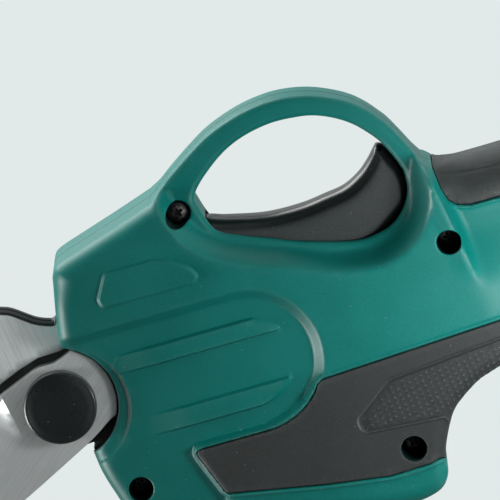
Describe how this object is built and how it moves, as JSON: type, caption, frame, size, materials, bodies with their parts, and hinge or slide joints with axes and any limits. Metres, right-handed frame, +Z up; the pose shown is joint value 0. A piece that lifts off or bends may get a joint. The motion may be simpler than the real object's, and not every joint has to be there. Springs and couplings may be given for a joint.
{
  "type": "cordless pruning shears",
  "caption": "Cordless pruning shears with a green two-half housing, a finger guard over a long trigger, black rubber grips, a hooked fixed blade, a swinging blade and a slide-off battery.",
  "frame": {"origin": "centre of the battery's flat base, on which the tool stands", "axes": "+Z up from the battery to the blades, +X to the trigger side, the housing's halves meet at y = 0"},
  "size_m": [0.1365, 0.074, 0.3203],
  "materials": {
    "green_shell": "fine satin texture",
    "black_rubber": "matte, a dotted panel on the palm",
    "black_plastic": "fine satin texture",
    "battery_plastic": "fine texture",
    "blade_steel": "brushed, ground bevel",
    "steel": "turned",
    "dark_steel": "dark",
    "screw_black": "black zinc",
    "sink_aluminium": "plain",
    "planet_brass": "plain",
    "board": "circuit board",
    "cell": "sleeved",
    "lens": "clear green"
  },
  "bodies": {
    "housing": {"blade_screw_1": "screw_black", "blade_screw_2": "screw_black", "controller_board": "board", "finger_grip_far": "black_rubber", "finger_grip_near": "black_rubber", "fixed_blade": "blade_steel", "gear_case": "dark_steel", "heat_sink": "sink_aluminium", "housing_far": "green_shell", "housing_near": "green_shell", "housing_screw_1": "screw_black", "housing_screw_2": "screw_black", "housing_screw_3": "screw_black", "housing_screw_4": "screw_black", "housing_screw_5": "screw_black", "housing_screw_6": "screw_black", "indicator_lens": "lens", "motor_can": "steel", "motor_end_cap": "black_plastic", "motor_stator": "dark_steel", "palm_grip_far": "black_rubber", "palm_grip_near": "black_rubber", "pinion_bearing": "steel", "power_spring": "steel", "ring_gear": "steel", "terminal_block": "black_plastic", "trigger_pin": "steel", "trigger_spring": "steel", "trigger_switch": "black_plastic"},
    "blade": {"moving_blade": "blade_steel", "blade_gear": "dark_steel", "pivot_shaft": "steel", "pivot_washer": "steel", "pivot_nut": "dark_steel", "pivot_cap": "black_plastic"},
    "pinion": {"bevel_pinion": "steel", "planet_carrier": "steel"},
    "planet_a": {"planet_1": "planet_brass"},
    "planet_b": {"planet_2": "planet_brass"},
    "planet_c": {"planet_3": "planet_brass"},
    "rotor": {"motor_rotor": "steel"},
    "trigger": {"trigger": "black_plastic"},
    "plunger": {"switch_plunger": "black_plastic"},
    "power_button": {"power_button": "black_plastic"},
    "battery": {"battery_lower": "battery_plastic", "battery_upper": "battery_plastic", "battery_board": "board", "latch_spring": "steel", "cell_1": "cell", "cell_2": "cell", "cell_3": "cell", "cell_4": "cell", "cell_5": "cell"},
    "latch": {"latch_button": "black_plastic"}
  },
  "joints": [
    {"name": "blade_pivot", "type": "hinge", "parent": "housing", "child": "blade", "pos_m": [-0.014, 0, 0.2463], "axis": [0, 1, 0], "range_deg": [0, 48]},
    {"name": "pinion_spin", "type": "hinge", "parent": "housing", "child": "pinion", "pos_m": [-0.014, 0, 0.2263], "axis": [0, 0, 1], "range_deg": [-150, 6]},
    {"name": "planet_a_spin", "type": "hinge", "parent": "pinion", "child": "planet_a", "pos_m": [-0.014, 0.00945, 0.2124], "axis": [0, 0, 1], "range_deg": [-10, 420.2]},
    {"name": "planet_b_spin", "type": "hinge", "parent": "pinion", "child": "planet_b", "pos_m": [-0.00582, -0.00473, 0.2124], "axis": [0, 0, 1], "range_deg": [-10, 420.2]},
    {"name": "planet_c_spin", "type": "hinge", "parent": "pinion", "child": "planet_c", "pos_m": [-0.02218, -0.00473, 0.2124], "axis": [0, 0, 1], "range_deg": [-10, 420.2]},
    {"name": "rotor_spin", "type": "hinge", "parent": "housing", "child": "rotor", "pos_m": [-0.014, 0, 0.1863], "axis": [0, 0, 1], "range_deg": [-668, 20]},
    {"name": "trigger_pull", "type": "hinge", "parent": "housing", "child": "trigger", "pos_m": [0.0235, 0, 0.1878], "axis": [0, 1, 0], "range_deg": [0, 8], "stiffness_Nm_per_rad": 1.2, "springref_deg": -6.88, "deforming": ["trigger_spring"]},
    {"name": "plunger_slide", "type": "slide", "parent": "housing", "child": "plunger", "axis": [-1, 0, 0], "range_m": [0, 0.0066]},
    {"name": "power_press", "type": "slide", "parent": "housing", "child": "power_button", "axis": [0, 0, -1], "range_m": [0, 0.0012], "stiffness_N_per_m": 600, "springref_m": -0.0006, "deforming": ["power_spring"]},
    {"name": "battery_slide", "type": "slide", "parent": "housing", "child": "battery", "axis": [1, 0, 0], "range_m": [0, 0.09]},
    {"name": "latch_press", "type": "slide", "parent": "battery", "child": "latch", "axis": [-1, 0, 0], "range_m": [0, 0.0025], "stiffness_N_per_m": 500, "springref_m": -0.001, "deforming": ["latch_spring"]}
  ],
  "couplings": [
    {"joint": "pinion_spin", "follows": "blade_pivot", "ratio": -3},
    {"joint": "planet_a_spin", "follows": "blade_pivot", "ratio": 8.4},
    {"joint": "planet_b_spin", "follows": "blade_pivot", "ratio": 8.4},
    {"joint": "planet_c_spin", "follows": "blade_pivot", "ratio": 8.4},
    {"joint": "rotor_spin", "follows": "blade_pivot", "ratio": -13.5},
    {"joint": "plunger_slide", "follows": "trigger_pull", "m_per_rad": 0.0445}
  ]
}
